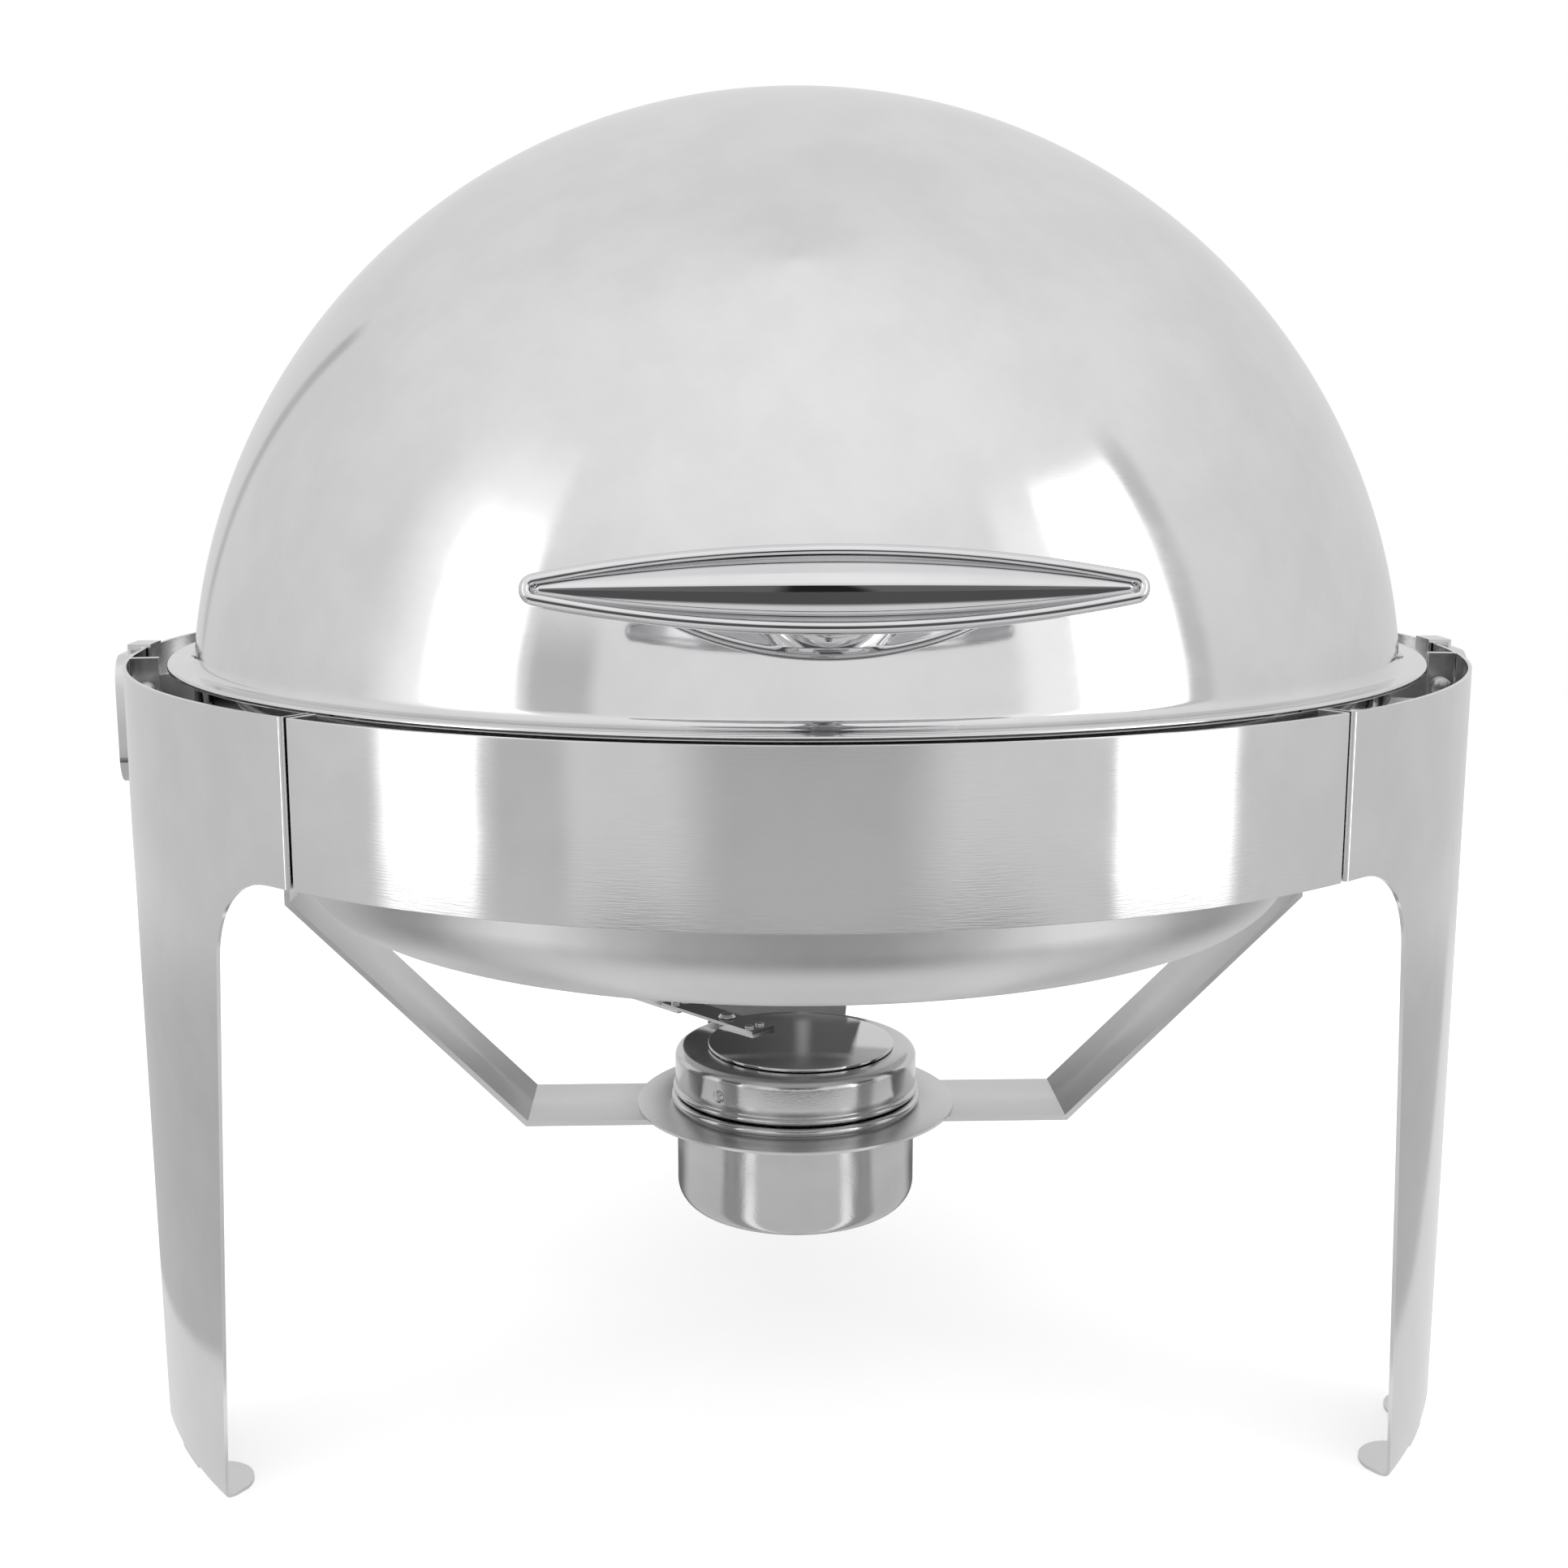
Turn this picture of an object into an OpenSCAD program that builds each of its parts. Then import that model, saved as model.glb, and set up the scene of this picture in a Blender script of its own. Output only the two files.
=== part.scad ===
// Round roll top chafer: a frame of three skirts and three legs carries a water pan, a food pan
// and a fuel burner, and a half-round cover rolls back inside it on two side hinges.
// Azimuths run from the front (-Y) towards the right (+X). Millimetres, floor at z = 0.

/* [Frame] */
// Outer radius of the band
band_r = 235; // [220:1:250]
// Height of the band's top edge above the floor
band_top = 255; // [250:1:260]
// Height of the band itself
band_h = 49; // [45:1:52]
// Thickness of the frame's sheet
frame_t = 1.2; // [1:0.1:1.5]
// Half angle of each skirt
skirt_half = 39.2; // [38:0.1:39.3]
// Half angle of each leg where it is part of the band
leg_half = 20.45; // [20:0.05:20.5]
// Half width of a leg just under the band
leg_top_w = 44.8; // [42:0.1:48]
// Half width of a leg at the floor
leg_foot_w = 31.5; // [28:0.1:34]
// Radius between the band's lower edge and a leg
leg_fillet = 29; // [20:1:32]
// Outer radius of the bends at the panels' ends
end_bend = 1.5; // [1.4:0.1:3]
// Radius down to which the bolted ends reach inwards
end_flange_r = 224.5; // [224:0.5:227]
// Radius of each foot lug
lug_r = 11.5; // [9:0.5:13]

/* [Cover] */
// Outer radius of the dome
dome_r = 213; // [200:1:214]
// Height of the hinge axis, which is the dome's centre
hinge_z = 235; // [233:1:237]
// Thickness of the dome's sheet
dome_t = 0.9; // [0.8:0.1:1.2]
// Height of the rim's top face above the hinge axis
rim_h = 20.5; // [20:0.5:22]
// Outer radius of the rim
rim_r = 221; // [218:0.5:221]
// Radius between the dome and its rim
rim_fillet = 4; // [3:0.5:6]
// Depth of the rim's turned-down lip
rim_lip = 1.9; // [1.2:0.1:2]

/* [Handle] */
// Elevation of the handle on the dome, in degrees
handle_tilt = 14; // [10:1:18]
// Length of the handle bar
handle_len = 157; // [130:1:170]
// Height of the bar at its middle
handle_h = 22.5; // [18:0.5:26]
// Height of the bar at its tips
handle_tip_h = 8; // [6:0.5:10]
// Distance of the bar's middle plane from the dome's centre
handle_reach = 247; // [243:1:252]
// Thickness of the bar's rim
handle_rim_t = 7; // [5:0.5:9]
// Radius of the raised spindle on the bar
spindle_r = 7.5; // [6:0.5:8.5]

/* [Pans] */
// Outer radius of the water pan's wall
water_r = 180; // [173:1:180]
// Height of the water pan's underside
water_bottom = 165.5; // [155:0.5:170]
// Outer radius of the water pan's bottom corner
water_corner = 20; // [14:1:26]
// Outer radius of the water pan's rim
water_rim_r = 199; // [195:1:200]
// Height of the water pan's rim underside
water_rim_z = 244.2; // [244.2:0.1:244.6]
// Outer radius of the food pan's wall
food_r = 171; // [165:1:172]
// Depth of the food pan
food_depth = 64; // [50:1:65]
// Thickness of both pans' sheet
pan_t = 1; // [0.8:0.1:1.2]

/* [Burner] */
// Outer radius of the fuel cup
cup_r = 45; // [43:0.5:45]
// Height of the cup's underside
cup_bottom = 41; // [38:1:50]
// Outer radius of the burner ring
ring_r = 60; // [56:1:64]
// Height of the top of the burner arms, on which the ring lies
arm_top = 80; // [76:1:84]
// Width of the burner arms
arm_w = 42; // [36:1:44]
// Outer radius of the collar
collar_r = 45.7; // [45:0.1:46]
// Height of the collar's top
collar_top = 102; // [100:1:104]
// Radius of the snuffer disc
snuffer_r = 35.2; // [34.5:0.1:36]
// Width of the snuffer's arm
snuffer_arm_w = 11.5; // [10:0.5:13]

/* [Hidden] */
$fn = 96;
steel = [0.80, 0.80, 0.81];
polished = [0.87, 0.87, 0.88];
satin = [0.72, 0.72, 0.73];
fastener = [0.6, 0.6, 0.62];
nylon = [0.92, 0.92, 0.88];
eps = 0.01;
round_bite = 0.03;
part_gap = 0.3;

// Frame
band_bottom = band_top - band_h;
band_in = band_r - frame_t;
end_bend_y = sqrt(pow(band_r - end_bend, 2) - pow(end_bend, 2));
end_turn = asin(end_bend / (band_r - end_bend));
panel_step = 0.9;
leg_slope = atan((leg_top_w - leg_foot_w) / (band_bottom - leg_fillet));
leg_fillet_x = leg_top_w + leg_fillet / cos(leg_slope);
leg_fillet_z = band_bottom - leg_fillet;
foot_edge_z = 0.6;
lug_bend = 2.2;
lug_inset = 0.06;
joint_angles = [for (turn = [0, 120, 240]) for (side = [-1, 1]) turn + side * (skirt_half + 60 - leg_half) / 2];
joint_bolt_y = 229.2;
joint_bolt_heights = [band_bottom + 12, band_top - 12];
joint_bolt_r = 1.9;
joint_head_x = 2.05;

// Lower frame
hoop_r = 189.5;
hoop_in = 187.5;
hoop_bottom = 222;
hoop_top = water_rim_z - part_gap;
bracket_r = 210;
bracket_t = 1.5;
bracket_top = 244;
bracket_half = 10;
arm_t = 2;
arm_knee_x = 100;
arm_end_x = hoop_in - 1.7;
arm_shoulder_z = 165;
ring_t = 1.2;

// Hinge, with x measured outwards from the dome's axis
hinge_bolt_r = 3;
hinge_nut_t = 2.5;
ear_x = 211.6;
ear_t = 2;
box_in = 214.6;
box_out = 229.5;
box_t = 1.5;
box_top = 247;
box_front = -19;
box_rear = 11;
cover_out = 240.8;
cover_t = 1.2;
cover_half = 30;
cover_bottom = 209;
cover_corner = 10;

// The frame's origin lies under the middle of the outer box, which the handle makes longer at the front
spindle_reach = handle_reach + 1;
origin_shift = (spindle_reach * cos(handle_tilt) + spindle_r - band_r) / 2;

// Cover profile, from the dome's centre
fillet_z = rim_h + rim_fillet;
fillet_x = sqrt(pow(dome_r + rim_fillet, 2) - pow(fillet_z, 2));
fillet_angle = asin(fillet_z / (dome_r + rim_fillet));
screw_x = 20;
screw_r = 2.4;

// Burner
cup_t = 0.8;
bead_r = 1.6;
bead_z = arm_top + ring_t + part_gap + bead_r;
collar_bottom = bead_z + bead_r + 0.4;
snuffer_z = collar_top + part_gap;
snuffer_t = 1.2;
snuffer_start = [-12, 11];
snuffer_dir = atan2(0.75, -0.66);
pivot_s = 21;
pivot_r = 1.9;
grip_s = 44;
grip_len = 36;
arm_plate_z = snuffer_z + snuffer_t;

// Moves a sub-part from the dome's axis to the frame's origin
module placed() { translate([0, origin_shift, 0]) children(); }

// A sector of a ring with square section, between two azimuths
module ring_arc(r0, r1, z0, z1, a0, a1) {
    rotate([0, 0, a0 - 90]) rotate_extrude(angle = a1 - a0) translate([r0, z0]) square([r1 - r0, z1 - z0]);
}

// Points along an arc, for outlines
function arc_points(x, y, r, a0, a1, steps = 8) =
    [for (i = [0:steps]) let (a = a0 + (a1 - a0) * i / steps) [x + r * cos(a), y + r * sin(a)]];

// A closed round solid with rounded bottom corners, as a profile
module pan_profile(r, z0, z1, corner) {
    translate([0, z0]) square([r - corner, z1 - z0]);
    translate([0, z0 + corner]) square([r, z1 - z0 - corner]);
    translate([r - corner, z0 + corner]) circle(corner);
}

// Frame panels ---------------------------------------------------------------

// Point at a radius and an azimuth
function at_azimuth(r, a) = [r * sin(a), -r * cos(a)];

// A point turned about the axis
function turned(p, a) = [p[0] * cos(a) - p[1] * sin(a), p[0] * sin(a) + p[1] * cos(a)];

// A list of points mirrored left to right and taken backwards
function mirrored(points) = [for (i = [len(points) - 1 : -1 : 0]) [-points[i][0], points[i][1]]];

// Plan of the bend and inward flange at a panel's end
function end_points(half) = [for (p = concat(
    arc_points(-end_bend, -end_bend_y, end_bend, -90 - end_turn, 0),
    [[0, -end_flange_r], [-frame_t, -end_flange_r]],
    arc_points(-end_bend, -end_bend_y, end_bend - frame_t, 0, -90 - end_turn))) turned(p, half)];

// Plan of a whole panel, curved and flanged, reaching "half" degrees each way
function panel_points(half) =
    let (last = half - end_turn, steps = ceil(last / panel_step)) concat(
    [for (i = [1 - steps : steps - 1]) at_azimuth(band_r, last * i / steps)],
    end_points(half),
    [for (i = [steps - 1 : -1 : 1 - steps]) at_azimuth(band_in, last * i / steps)],
    mirrored(end_points(half)));

// Clearance holes through both flanges of every joint
module joint_holes() {
    for (a = joint_angles) rotate([0, 0, a]) for (z = joint_bolt_heights)
        translate([-5, -joint_bolt_y, z]) rotate([0, 90, 0]) cylinder(h = 10, r = joint_bolt_r + 0.2);
}

module hinge_hole(r = hinge_bolt_r + 0.2) {
    translate([0, 0, hinge_z]) rotate([0, 90, 0]) cylinder(h = 2 * band_r + 20, r = r, center = true);
}

module skirt(turn) {
    color(steel) placed() difference() {
        rotate([0, 0, turn]) translate([0, 0, band_bottom]) linear_extrude(height = band_h)
            polygon(panel_points(skirt_half));
        joint_holes();
        hinge_hole();
    }
}

// Outline of a leg seen from outside, as far as the middles of its two corner radii
module leg_outline() {
    corner_x = leg_fillet_x - leg_fillet * cos(leg_slope) + round_bite;
    corner_z = leg_fillet_z + leg_fillet * sin(leg_slope);
    polygon([[-leg_foot_w, foot_edge_z], [leg_foot_w, foot_edge_z], [corner_x, corner_z],
        [leg_fillet_x, leg_fillet_z], [leg_fillet_x, band_bottom], [band_r, band_bottom], [band_r, band_top + 5],
        [-band_r, band_top + 5], [-band_r, band_bottom], [-leg_fillet_x, band_bottom],
        [-leg_fillet_x, leg_fillet_z], [-corner_x, corner_z]]);
}

// First and last azimuth of the lug on one side of a leg
function lug_span(side) =
    let (outer = asin(leg_foot_w / band_r) - lug_inset, inner = outer - 2 * asin(lug_r / band_r))
    side > 0 ? [inner, outer] : [-outer, -inner];

// Round lug bent inwards at a bottom corner of a leg
module foot_lug(side) {
    span = lug_span(side);
    intersection() {
        ring_arc(band_in - 2 * lug_r, band_r - round_bite, 0, frame_t, span[0], span[1]);
        rotate([0, 0, (span[0] + span[1]) / 2]) translate([0, -band_r + lug_bend, -1])
            cylinder(h = frame_t + 2, r = lug_r);
    }
}

// What the rounded bend takes off the corner between a leg and its lug
module lug_rounding(side) {
    span = lug_span(side);
    rotate([0, 0, span[0] - 90.1]) rotate_extrude(angle = span[1] - span[0] + 0.2)
        translate([band_r - lug_bend, 0]) difference() {
            translate([0, -3]) square([lug_bend + 3, lug_bend + 3]);
            translate([round_bite, lug_bend - round_bite]) circle(lug_bend);
        }
}

module leg(turn) {
    color(steel) placed() difference() {
        rotate([0, 0, turn]) difference() {
            union() {
                intersection() {
                    linear_extrude(height = band_top) polygon(panel_points(leg_half));
                    rotate([90, 0, 0]) linear_extrude(height = band_r + 5) leg_outline();
                }
                for (side = [-1, 1]) foot_lug(side);
            }
            for (x = [-leg_fillet_x, leg_fillet_x]) translate([x, -band_r / 2, leg_fillet_z + round_bite])
                rotate([90, 0, 0]) cylinder(h = band_r, r = leg_fillet);
            for (side = [-1, 1]) lug_rounding(side);
        }
        joint_holes();
    }
}

module front_skirt() { skirt(0); }
module rear_left_skirt() { skirt(-120); }
module rear_right_skirt() { skirt(120); }
module left_leg() { leg(-60); }
module right_leg() { leg(60); }
module rear_leg() { leg(180); }

module joint_bolts() {
    color(fastener) placed() for (i = [0:5]) rotate([0, 0, joint_angles[i]]) mirror([i % 2, 0, 0])
        for (z = joint_bolt_heights) translate([0, -joint_bolt_y, z]) rotate([0, 90, 0]) {
            translate([0, 0, -joint_head_x - 2.4]) cylinder(h = 2.4, r = 3.4);
            translate([0, 0, -joint_head_x - eps]) cylinder(h = 2 * joint_head_x + 3.2, r = joint_bolt_r);
        }
}

module joint_nuts() {
    color(fastener) placed() for (i = [0:5]) rotate([0, 0, joint_angles[i]]) mirror([i % 2, 0, 0])
        for (z = joint_bolt_heights) translate([joint_head_x, -joint_bolt_y, z]) rotate([0, 90, 0]) difference() {
            cylinder(h = 2.6, r = 3.9, $fn = 6);
            translate([0, 0, -1]) cylinder(h = 5, r = joint_bolt_r + 0.05);
        }
}

// Pan supports ---------------------------------------------------------------

// Hat-shaped bracket: two tabs on the leg, two webs, a curved face and a tongue under the hoop
module pan_bracket(turn) {
    tab_out = band_in - 0.1;
    color(polished) placed() {
        ring_arc(bracket_r - bracket_t, bracket_r, hoop_bottom - bracket_t, bracket_top,
            turn - bracket_half, turn + bracket_half);
        ring_arc(hoop_in - 1, bracket_r - bracket_t / 2, hoop_bottom - bracket_t, hoop_bottom,
            turn - bracket_half / 2, turn + bracket_half / 2);
        for (side = [-1, 1]) rotate([0, 0, turn + side * bracket_half]) mirror([side < 0 ? 1 : 0, 0, 0]) {
            translate([-bracket_t, -tab_out + bracket_t / 2, hoop_bottom - bracket_t])
                cube([bracket_t, tab_out - bracket_r + bracket_t / 4, bracket_top - hoop_bottom + bracket_t]);
            ring_arc(tab_out - bracket_t, tab_out, hoop_bottom - bracket_t, bracket_top, -bracket_t / 4, 4);
        }
    }
}

module pan_bracket_left() { pan_bracket(-60); }
module pan_bracket_right() { pan_bracket(60); }

module support_ring() {
    color(steel) placed() difference() {
        translate([0, 0, hoop_bottom]) difference() {
            cylinder(h = hoop_top - hoop_bottom, r = hoop_r);
            translate([0, 0, -1]) cylinder(h = hoop_top - hoop_bottom + 2, r = hoop_in);
        }
        hinge_hole();
    }
}

// Burner holder --------------------------------------------------------------

// A flat strap bent up from the ring, out along the slope and up inside the hoop
module burner_arm(side) {
    slope = atan((arm_shoulder_z - arm_top) / (arm_end_x - arm_knee_x));
    knee_shift = arm_t * tan(slope / 2);
    top_shift = arm_t * tan((90 - slope) / 2);
    color(steel) placed() scale([side, 1, 1]) difference() {
        rotate([90, 0, 0]) translate([0, 0, -arm_w / 2]) linear_extrude(height = arm_w) polygon([
            [cup_r + 2, arm_top], [arm_knee_x, arm_top], [arm_end_x - arm_t, arm_shoulder_z + top_shift - arm_t],
            [arm_end_x - arm_t, hoop_top - 0.4], [arm_end_x, hoop_top - 0.4],
            [arm_end_x, arm_shoulder_z - arm_t], [arm_knee_x + knee_shift, arm_top - arm_t],
            [cup_r + 2, arm_top - arm_t]]);
        hinge_hole();
        translate([0, 0, arm_top - arm_t - 1]) cylinder(h = arm_t + 2, r = cup_r + 1.5);
    }
}

module burner_arm_left() { burner_arm(-1); }
module burner_arm_right() { burner_arm(1); }

module burner_ring() {
    color(polished) placed() translate([0, 0, arm_top]) difference() {
        cylinder(h = ring_t, r = ring_r);
        translate([0, 0, -1]) cylinder(h = ring_t + 2, r = cup_r + 0.6);
    }
}

// Hinges ---------------------------------------------------------------------

// Rounded outline of the outside cover, drawn across y and up z
module cover_outline(inset) {
    r = cover_corner - inset;
    x = cover_half - cover_corner;
    z0 = cover_bottom + cover_corner;
    z1 = band_top - 1 - cover_corner;
    polygon([each arc_points(x, z1, r, 90, 0), each arc_points(x, z0, r, 0, -90),
        each arc_points(-x, z0, r, 270, 180), each arc_points(-x, z1, r, 180, 90)]);
}

// Pressed cap over the hinge bolt's head, hooked over the band's top edge
module hinge_cover(side) {
    turn = side * 90;
    hook_half = 1.7;
    hook_out = cover_out - 0.15;
    hook_in = band_in - cover_t - 0.1;
    hook_z = band_top + part_gap;
    hook_t = 0.9;
    color(polished) placed() {
        difference() {
            intersection() {
                ring_arc(band_r + 0.1, cover_out, cover_bottom - 5, band_top + 5, turn - 10, turn + 10);
                rotate([90, 0, turn]) translate([0, 0, 200]) linear_extrude(height = 60) cover_outline(0);
            }
            intersection() {
                ring_arc(band_r - 5, cover_out - cover_t, cover_bottom - 5, band_top + 5, turn - 10, turn + 10);
                rotate([90, 0, turn]) translate([0, 0, 200]) linear_extrude(height = 60) cover_outline(cover_t);
            }
        }
        rotate([0, 0, turn - hook_half - 90]) rotate_extrude(angle = 2 * hook_half) polygon([
            [hook_out, band_top - 3], [hook_out, hook_z + hook_t], [hook_in, hook_z + hook_t],
            [hook_in, band_top - 4], [hook_in + hook_t, band_top - 4], [hook_in + hook_t, hook_z],
            [hook_out - hook_t, hook_z], [hook_out - hook_t, band_top - 3]]);
    }
}

module hinge_cover_left() { hinge_cover(-1); }
module hinge_cover_right() { hinge_cover(1); }

// Section of the inside bracket, drawn outwards along x and up z
module box_outline(inset, z0) {
    r = 6 - inset;
    x1 = box_out - inset;
    z1 = box_top - inset;
    translate([box_in + inset, z0]) square([x1 - box_in - inset, z1 - z0 - r]);
    translate([box_in + inset, z0]) square([x1 - box_in - inset - r, z1 - z0]);
    translate([x1 - r, z1 - r]) circle(r);
}

// Pressed bracket inside the band that carries the hinge bolt, closed at the front and on top
module hinge_bracket(side) {
    box_bottom = hinge_z - 12;
    color(polished) placed() scale([side, 1, 1]) difference() {
        translate([0, box_rear, 0]) rotate([90, 0, 0]) linear_extrude(height = box_rear - box_front)
            box_outline(0, box_bottom);
        translate([0, box_rear + 1, 0]) rotate([90, 0, 0]) linear_extrude(height = box_rear + 1 - box_front - box_t)
            box_outline(box_t, box_bottom - 1);
        hinge_hole();
    }
}

module hinge_bracket_left() { hinge_bracket(-1); }
module hinge_bracket_right() { hinge_bracket(1); }

// A cylinder on the hinge axis, with an optional bore, from x0 out to x1 on the named side
module hinge_turning(side, x0, x1, r, bore = 0, facets = 96) {
    translate([side > 0 ? x0 : -x1, 0, hinge_z]) rotate([0, 90, 0]) difference() {
        cylinder(h = x1 - x0, r = r, $fn = facets);
        if (bore > 0) translate([0, 0, -1]) cylinder(h = x1 - x0 + 2, r = bore);
    }
}

module hinge_bolts() {
    head_x = band_r + 0.1;
    color(fastener) placed() for (side = [-1, 1]) {
        hinge_turning(side, arm_end_x - arm_t - hinge_nut_t - 0.3, head_x + eps, hinge_bolt_r);
        hinge_turning(side, head_x, head_x + 3.4, 5.5);
    }
}

module hinge_nuts() {
    color(fastener) placed() for (side = [-1, 1])
        hinge_turning(side, arm_end_x - arm_t - hinge_nut_t - 0.1, arm_end_x - arm_t - 0.1, 5.7,
            hinge_bolt_r + 0.05, 6);
}

module hinge_bushes() {
    color(fastener) placed() for (side = [-1, 1])
        hinge_turning(side, hoop_r + 0.1, ear_x - part_gap, 5.5, hinge_bolt_r + 0.05);
}

module hinge_spacers() {
    color(fastener) placed() for (side = [-1, 1])
        hinge_turning(side, box_out + 0.1, band_in - 0.3, 7, hinge_bolt_r + 0.05);
}

module hinge_washers() {
    color(nylon) placed() for (side = [-1, 1])
        hinge_turning(side, ear_x + ear_t + part_gap, box_in - 0.1, 8, hinge_bolt_r + 0.05);
}

// Cover ----------------------------------------------------------------------

// Profile of the dome, its fillet, rim and lip, with the hinge axis at z = 0
module dome_profile() {
    far = 2 * dome_r;
    intersection() {
        difference() {
            circle(dome_r, $fn = 240);
            circle(dome_r - dome_t, $fn = 240);
        }
        polygon([[0, 0], [far * cos(fillet_angle), far * sin(fillet_angle)], [far, far], [0, far]]);
    }
    translate([fillet_x, fillet_z]) intersection() {
        difference() {
            circle(rim_fillet + dome_t);
            circle(rim_fillet);
        }
        polygon([[0, 0], [-20 * cos(fillet_angle), -20 * sin(fillet_angle)], [-20, -20], [0, -20]]);
    }
    translate([fillet_x, rim_h - dome_t]) square([rim_r - fillet_x, dome_t]);
    translate([rim_r - dome_t, rim_h - rim_lip]) square([dome_t, rim_lip]);
}

module on_dome(x) {
    translate([0, 0, hinge_z]) rotate([-handle_tilt, 0, 0]) translate([x, 0, 0]) children();
}

module handle_screw_bores(r, rho0, rho1) {
    for (x = [-screw_x, screw_x]) on_dome(x) rotate([90, 0, 0]) translate([0, 0, rho0])
        cylinder(h = rho1 - rho0, r = r);
}

module dome_cover() {
    color(polished) placed() difference() {
        translate([0, 0, hinge_z]) rotate_extrude($fn = 180) dome_profile();
        handle_screw_bores(screw_r + 0.2, dome_r - 10, dome_r + 5);
    }
}

// Ear on the rim: a tab welded under it and a plate that hangs down to the hinge bolt
module hinge_ear(side) {
    tab_z = rim_h - dome_t;
    tab_half = 14;
    ear_r = 11;
    color(steel) placed() translate([0, 0, hinge_z]) scale([side, 1, 1]) difference() {
        union() {
            translate([ear_x, 0, 0]) rotate([90, 0, 90]) linear_extrude(height = ear_t) {
                circle(ear_r);
                polygon([[-tab_half, tab_z], [-ear_r, 0], [ear_r, 0], [tab_half, tab_z]]);
            }
            translate([ear_x, -tab_half, tab_z - ear_t]) cube([7.4, 2 * tab_half, ear_t]);
        }
        rotate([0, 90, 0]) cylinder(h = band_r, r = hinge_bolt_r + 0.06);
    }
}

module hinge_ear_left() { hinge_ear(-1); }
module hinge_ear_right() { hinge_ear(1); }

// Handle ---------------------------------------------------------------------

// Leaf outline from two long arcs that run into round tips
function leaf_points(length, height, tip_h) =
    let (run = (length - tip_h) / 2, rise = (height - tip_h) / 2, arc_r = (run * run + rise * rise) / (2 * rise),
        turn = asin(run / arc_r), tip_r = tip_h / 2 / cos(turn), tip_x = run - tip_r * sin(turn),
        arc_y = height / 2 - arc_r)
    [each arc_points(0, arc_y, arc_r, 90 + turn, 90 - turn, 24),
        each arc_points(tip_x, 0, tip_r, 80 - turn, turn - 80),
        each arc_points(0, -arc_y, arc_r, turn - 90, -90 - turn, 24),
        each arc_points(-tip_x, 0, tip_r, 260 - turn, 100 + turn)];

// Half of a leaf outline, to be turned about its long axis
function spindle_points(length, r, tip_r) =
    let (run = length / 2 - tip_r, rise = r - tip_r, arc_r = (run * run + rise * rise) / (2 * rise),
        turn = asin(run / arc_r))
    [[0, length / 2], each arc_points(0, run, tip_r, 70, 20, 4), each arc_points(r - arc_r, 0, arc_r, turn, -turn, 24),
        each arc_points(0, -run, tip_r, -20, -70, 4), [0, -length / 2]];

// Spindle-shaped body of the handle bar
module spindle(extra) {
    on_dome(0) translate([0, -spindle_reach, 0]) rotate([0, 90, 0])
        rotate_extrude() polygon(spindle_points(handle_len - 9, spindle_r + extra, 2));
}

module handle_bar() {
    color(polished) placed() {
        on_dome(0) translate([0, -handle_reach + handle_rim_t / 2, 0]) rotate([90, 0, 0])
            linear_extrude(height = handle_rim_t) polygon(leaf_points(handle_len, handle_h, handle_tip_h));
        spindle(0);
    }
}

// Leaf-shaped foot on the dome and a waisted neck up to the bar
module handle_stem() {
    foot_len = 91;
    foot_h = 27;
    foot_t = 4.5;
    neck_r = 6.5;
    neck_base_r = 17;
    neck_end_r = 9.5;
    waist = 0.62;
    neck_len = handle_reach - handle_rim_t / 2 - dome_r + 2;
    neck_steps = 16;
    color(polished) placed() difference() {
        union() {
            intersection() {
                on_dome(0) rotate([90, 0, 0]) linear_extrude(height = 2 * dome_r)
                    polygon(leaf_points(foot_len, foot_h, 7));
                translate([0, 0, hinge_z]) sphere(dome_r + foot_t, $fn = 180);
            }
            on_dome(0) translate([0, 2 - dome_r, 0]) rotate([90, 0, 0]) rotate_extrude() polygon([[0, 0],
                for (i = [0:neck_steps]) let (t = i / neck_steps) [
                    t < waist ? neck_r + (neck_base_r - neck_r) * pow(1 - t / waist, 2)
                        : neck_r + (neck_end_r - neck_r) * pow((t - waist) / (1 - waist), 2), t * neck_len],
                [0, neck_len]]);
        }
        translate([0, 0, hinge_z]) sphere(dome_r, $fn = 180);
        spindle(0.05);
        handle_screw_bores(screw_r + 0.05, dome_r - 5, dome_r + 3.5);
    }
}

module handle_screws() {
    head_rho = sqrt(pow(dome_r - dome_t, 2) - pow(screw_x + 4.5, 2)) - 0.1;
    color(fastener) placed() {
        handle_screw_bores(4.5, head_rho - 2.2, head_rho);
        handle_screw_bores(screw_r, head_rho - eps, dome_r + 2.5);
    }
}

// Pans -----------------------------------------------------------------------

module water_pan() {
    bend = 3;
    color(satin) placed() rotate_extrude($fn = 180) {
        difference() {
            pan_profile(water_r, water_bottom, water_rim_z - bend + pan_t, water_corner);
            pan_profile(water_r - pan_t, water_bottom + pan_t, water_rim_z + 5, water_corner - pan_t);
        }
        translate([water_r + bend - pan_t, water_rim_z - bend + pan_t]) intersection() {
            difference() {
                circle(bend);
                circle(bend - pan_t);
            }
            translate([-bend, 0]) square(bend);
        }
        translate([water_r + bend - pan_t, water_rim_z]) square([water_rim_r - water_r - bend + pan_t - 1.4, pan_t]);
        translate([water_rim_r - 1.4, water_rim_z + pan_t - 1.4]) circle(1.4);
    }
}

module food_pan() {
    rim_z = water_rim_z + pan_t + part_gap;
    bottom = rim_z - food_depth;
    rim_out = 192;
    corner = 16;
    color(satin) placed() rotate_extrude($fn = 180) {
        difference() {
            pan_profile(food_r, bottom, rim_z, corner);
            pan_profile(food_r - pan_t, bottom + pan_t, rim_z + 5, corner - pan_t);
        }
        translate([food_r - pan_t, rim_z]) square([rim_out - food_r + pan_t, pan_t]);
        translate([rim_out, rim_z + pan_t]) circle(pan_t);
    }
}

// Burner ---------------------------------------------------------------------

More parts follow.
